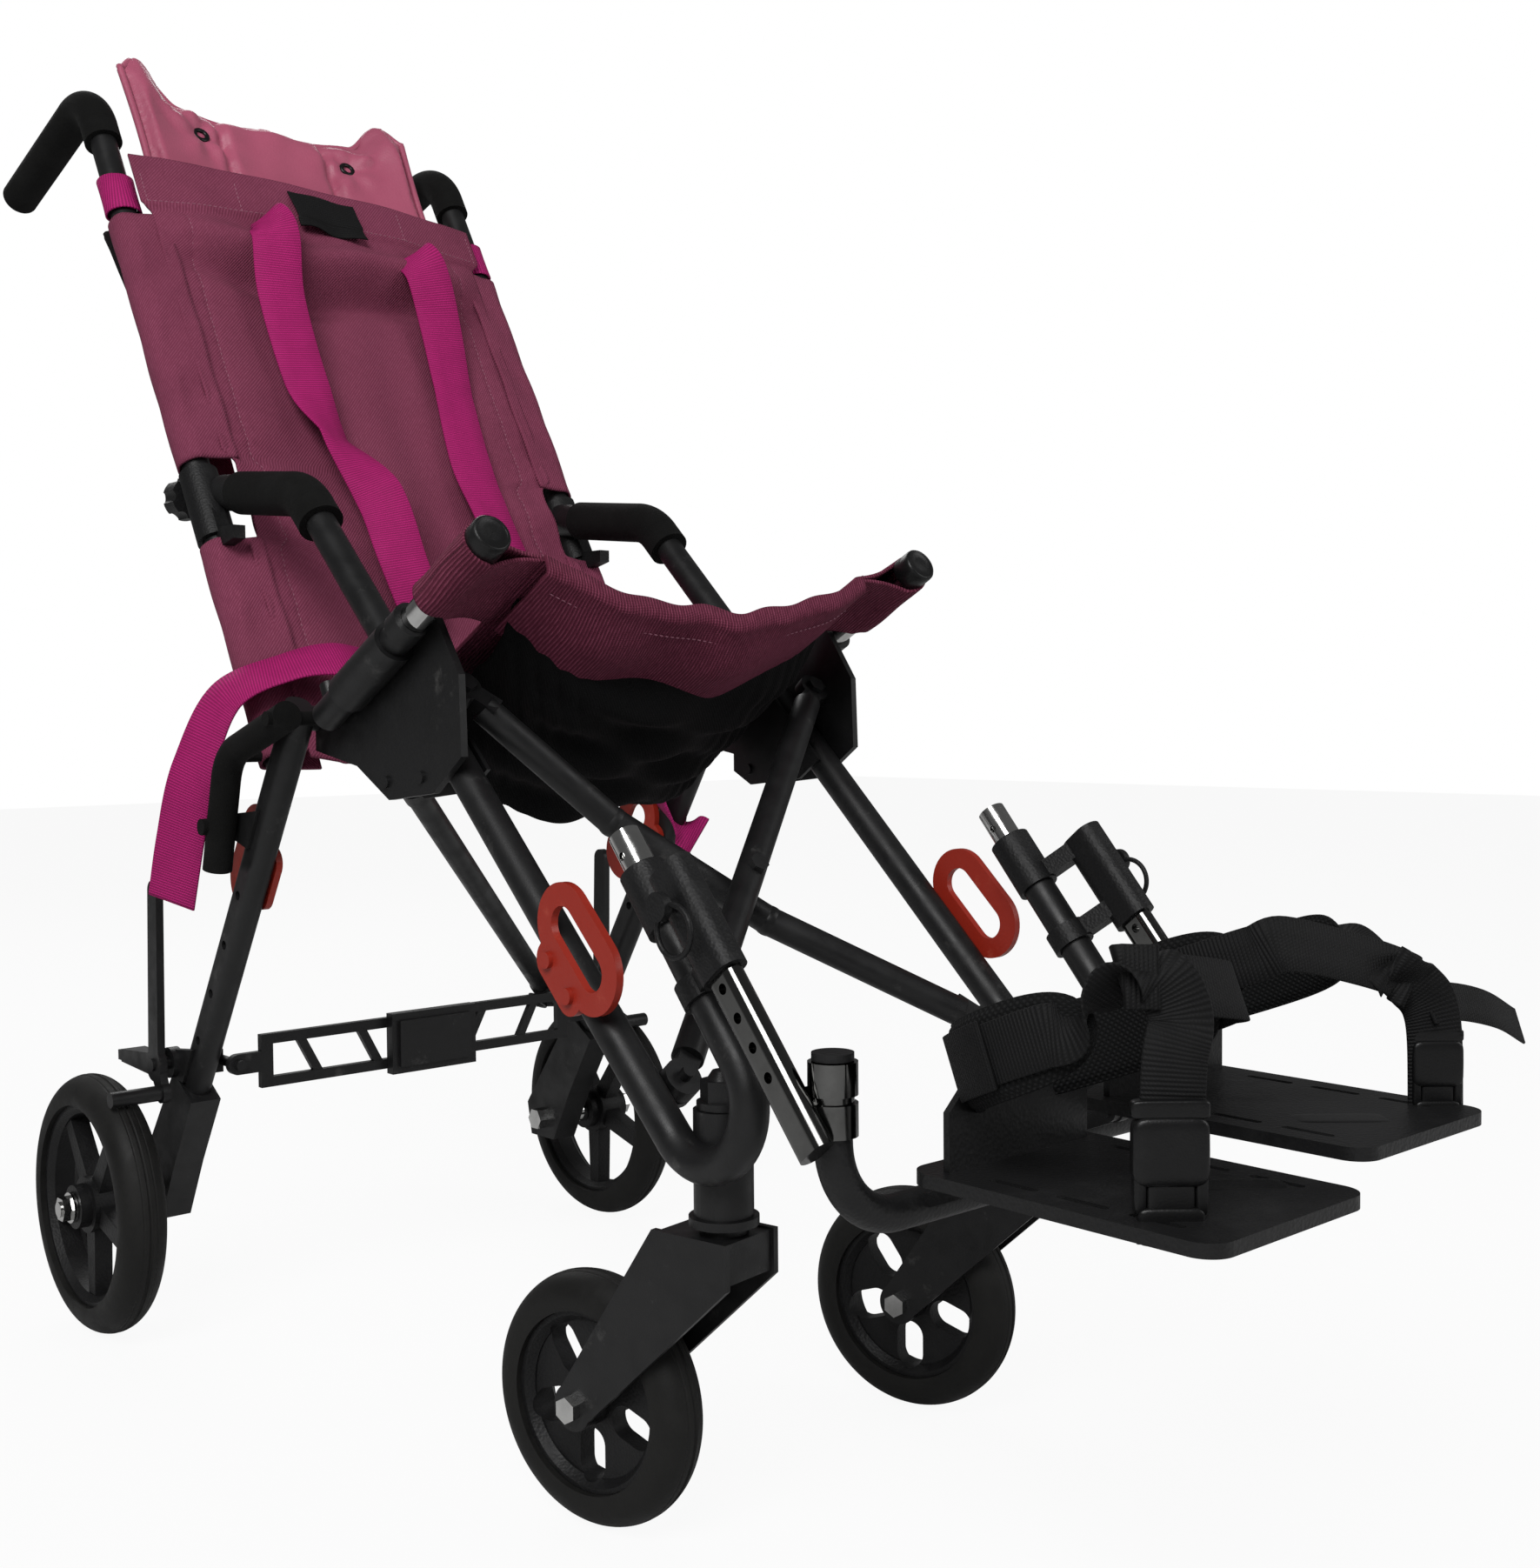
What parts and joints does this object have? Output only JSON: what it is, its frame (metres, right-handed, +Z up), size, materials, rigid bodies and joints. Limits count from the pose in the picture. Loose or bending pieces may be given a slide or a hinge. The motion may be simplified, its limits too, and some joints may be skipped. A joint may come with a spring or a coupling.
{
  "type": "special needs buggy",
  "caption": "Folding special needs buggy with a cloth sling seat, crossed frame tubes, swivelling front castors, braked rear wheels, tie-down rings and adjustable footrests.",
  "frame": {"origin": "floor level under the middle of the bounding box", "axes": "+Z up, -Y the way the rider faces, +X the left side of the buggy"},
  "size_m": [0.554, 1.29, 1.0522],
  "materials": {
    "frame_black": "satin powder coat",
    "foam": "closed-cell foam",
    "black_plastic": "moulded",
    "chrome": "bright",
    "red_steel": "satin powder coat",
    "tyre": "ribbed",
    "black_padding": "mesh cloth",
    "maroon_cloth": "fine corduroy",
    "pink_vinyl": "padded vinyl",
    "webbing": "woven"
  },
  "bodies": {
    "frame_right": {"right_front_leg": "frame_black", "right_armrest_pad": "foam", "right_armrest_clamp": "black_plastic", "right_back_post": "frame_black", "right_handle_grip": "foam", "right_seat_tube": "frame_black", "right_seat_extension": "chrome", "right_gusset": "frame_black", "right_rear_leg": "frame_black", "right_back_link": "foam", "right_tie_downs": "red_steel", "right_rear_axle": "chrome", "right_footrest_post": "chrome", "right_hanger_sleeve": "black_plastic", "seat_sling": "maroon_cloth", "back_sling": "maroon_cloth", "headrest_pad": "pink_vinyl", "underseat_panel": "black_padding", "harness_straps": "webbing"},
    "frame_left": {"left_front_leg": "frame_black", "left_armrest_pad": "foam", "left_armrest_clamp": "black_plastic", "left_back_post": "frame_black", "left_handle_grip": "foam", "left_seat_tube": "frame_black", "left_seat_extension": "chrome", "left_gusset": "frame_black", "left_rear_leg": "frame_black", "left_back_link": "foam", "left_tie_downs": "red_steel", "left_rear_axle": "chrome", "left_footrest_post": "chrome", "left_hanger_sleeve": "black_plastic"},
    "cross_a": {"cross_tube_a": "frame_black"},
    "cross_b": {"cross_tube_b": "frame_black"},
    "brace_right": {"right_rear_brace": "frame_black"},
    "brace_left": {"left_rear_brace": "frame_black"},
    "stay": {"rear_stay": "frame_black"},
    "rear_wheel_right": {"right_rear_tyre": "tyre", "right_rear_rim": "black_plastic"},
    "caster_right": {"right_caster_fork": "frame_black", "right_front_axle": "chrome"},
    "front_wheel_right": {"right_front_tyre": "tyre", "right_front_rim": "black_plastic"},
    "brake_right": {"right_brake_lever": "frame_black"},
    "footrest_right": {"right_footrest_tube": "chrome"},
    "footswing_right": {"right_footplate_tube": "frame_black"},
    "footplate_right": {"right_footplate": "black_plastic", "right_ankle_strap": "black_padding"},
    "rear_wheel_left": {"left_rear_tyre": "tyre", "left_rear_rim": "black_plastic"},
    "caster_left": {"left_caster_fork": "frame_black", "left_front_axle": "chrome"},
    "front_wheel_left": {"left_front_tyre": "tyre", "left_front_rim": "black_plastic"},
    "brake_left": {"left_brake_lever": "frame_black"},
    "footrest_left": {"left_footrest_tube": "chrome"},
    "footswing_left": {"left_footplate_tube": "frame_black"},
    "footplate_left": {"left_footplate": "black_plastic", "left_ankle_strap": "black_padding"}
  },
  "joints": [
    {"name": "frame_fold", "type": "hinge", "parent": "frame_right", "child": "cross_a", "pos_m": [-0.134, -0.2796, 0.26993], "axis": [0, -0.766, 0.6428], "range_deg": [0, 26.5], "deforming": ["seat_sling", "back_sling", "headrest_pad", "underseat_panel", "harness_straps"]},
    {"name": "cross_pivot", "type": "hinge", "parent": "cross_a", "child": "cross_b", "pos_m": [0, -0.19049, 0.37612], "axis": [0, -0.766, 0.6428], "range_deg": [-53, 0]},
    {"name": "left_side", "type": "hinge", "parent": "cross_b", "child": "frame_left", "pos_m": [0.134, -0.2796, 0.26993], "axis": [0, -0.766, 0.6428], "range_deg": [0, 26.5]},
    {"name": "rear_brace_right", "type": "hinge", "parent": "frame_right", "child": "brace_right", "pos_m": [-0.17, 0.22874, 0.2135], "axis": [0, 1, 0], "range_deg": [0, 56.49]},
    {"name": "rear_brace_left", "type": "hinge", "parent": "frame_left", "child": "brace_left", "pos_m": [0.17, 0.22874, 0.2135], "axis": [0, 1, 0], "range_deg": [-56.49, 0]},
    {"name": "stay_swing", "type": "hinge", "parent": "frame_left", "child": "stay", "pos_m": [0.152, 0.27027, 0.2335], "axis": [0.529, 0.0769, 0.8451], "range_deg": [0, 30.57]},
    {"name": "rear_spin_right", "type": "hinge", "parent": "frame_right", "child": "rear_wheel_right", "pos_m": [-0.245, 0.31227, 0.1015], "axis": [1, 0, 0], "continuous": true},
    {"name": "caster_swivel_right", "type": "hinge", "parent": "frame_right", "child": "caster_right", "pos_m": [-0.14, -0.32487, 0.2], "axis": [0, 0, 1], "continuous": true},
    {"name": "front_spin_right", "type": "hinge", "parent": "caster_right", "child": "front_wheel_right", "pos_m": [-0.15702, -0.22836, 0.076], "axis": [0.9848, 0.1736, 0], "continuous": true},
    {"name": "brake_right", "type": "hinge", "parent": "frame_right", "child": "brake_right", "pos_m": [-0.215, 0.26674, 0.2135], "axis": [-1, 0, 0], "range_deg": [0, 20]},
    {"name": "footrest_height_right", "type": "slide", "parent": "frame_right", "child": "footrest_right", "axis": [0, 0.6428, 0.766], "range_m": [-0.03, 0.03]},
    {"name": "footrest_swing_right", "type": "hinge", "parent": "footrest_right", "child": "footswing_right", "pos_m": [-0.16, -0.434, 0.28782], "axis": [0, 0, 1], "range_deg": [-90.1, 0]},
    {"name": "footplate_flip_right", "type": "hinge", "parent": "footswing_right", "child": "footplate_right", "pos_m": [-0.08, -0.468, 0.23982], "axis": [-1, 0, 0], "range_deg": [0, 85]},
    {"name": "rear_spin_left", "type": "hinge", "parent": "frame_left", "child": "rear_wheel_left", "pos_m": [0.245, 0.31227, 0.1015], "axis": [1, 0, 0], "continuous": true},
    {"name": "caster_swivel_left", "type": "hinge", "parent": "frame_left", "child": "caster_left", "pos_m": [0.14, -0.32487, 0.2], "axis": [0, 0, 1], "continuous": true},
    {"name": "front_spin_left", "type": "hinge", "parent": "caster_left", "child": "front_wheel_left", "pos_m": [0.11464, -0.23021, 0.076], "axis": [0.9659, 0.2588, 0], "continuous": true},
    {"name": "brake_left", "type": "hinge", "parent": "frame_left", "child": "brake_left", "pos_m": [0.215, 0.26674, 0.2135], "axis": [-1, 0, 0], "range_deg": [0, 20]},
    {"name": "footrest_height_left", "type": "slide", "parent": "frame_left", "child": "footrest_left", "axis": [0, 0.6428, 0.766], "range_m": [-0.049, 0.011]},
    {"name": "footrest_swing_left", "type": "hinge", "parent": "footrest_left", "child": "footswing_left", "pos_m": [0.16, -0.42178, 0.30237], "axis": [0, 0, 1], "range_deg": [0, 90.1]},
    {"name": "footplate_flip_left", "type": "hinge", "parent": "footswing_left", "child": "footplate_left", "pos_m": [0.08, -0.45578, 0.25437], "axis": [-1, 0, 0], "range_deg": [0, 85]}
  ],
  "couplings": [
    {"joint": "cross_pivot", "follows": "frame_fold", "ratio": -2},
    {"joint": "left_side", "follows": "frame_fold", "ratio": 1},
    {"joint": "rear_brace_right", "follows": "frame_fold", "ratio": 2.128},
    {"joint": "rear_brace_left", "follows": "frame_fold", "ratio": -2.128},
    {"joint": "stay_swing", "follows": "frame_fold", "ratio": 1.15},
    {"joint": "footrest_swing_right", "follows": "frame_fold", "ratio": -3.3962},
    {"joint": "footrest_swing_left", "follows": "frame_fold", "ratio": 3.3962}
  ]
}
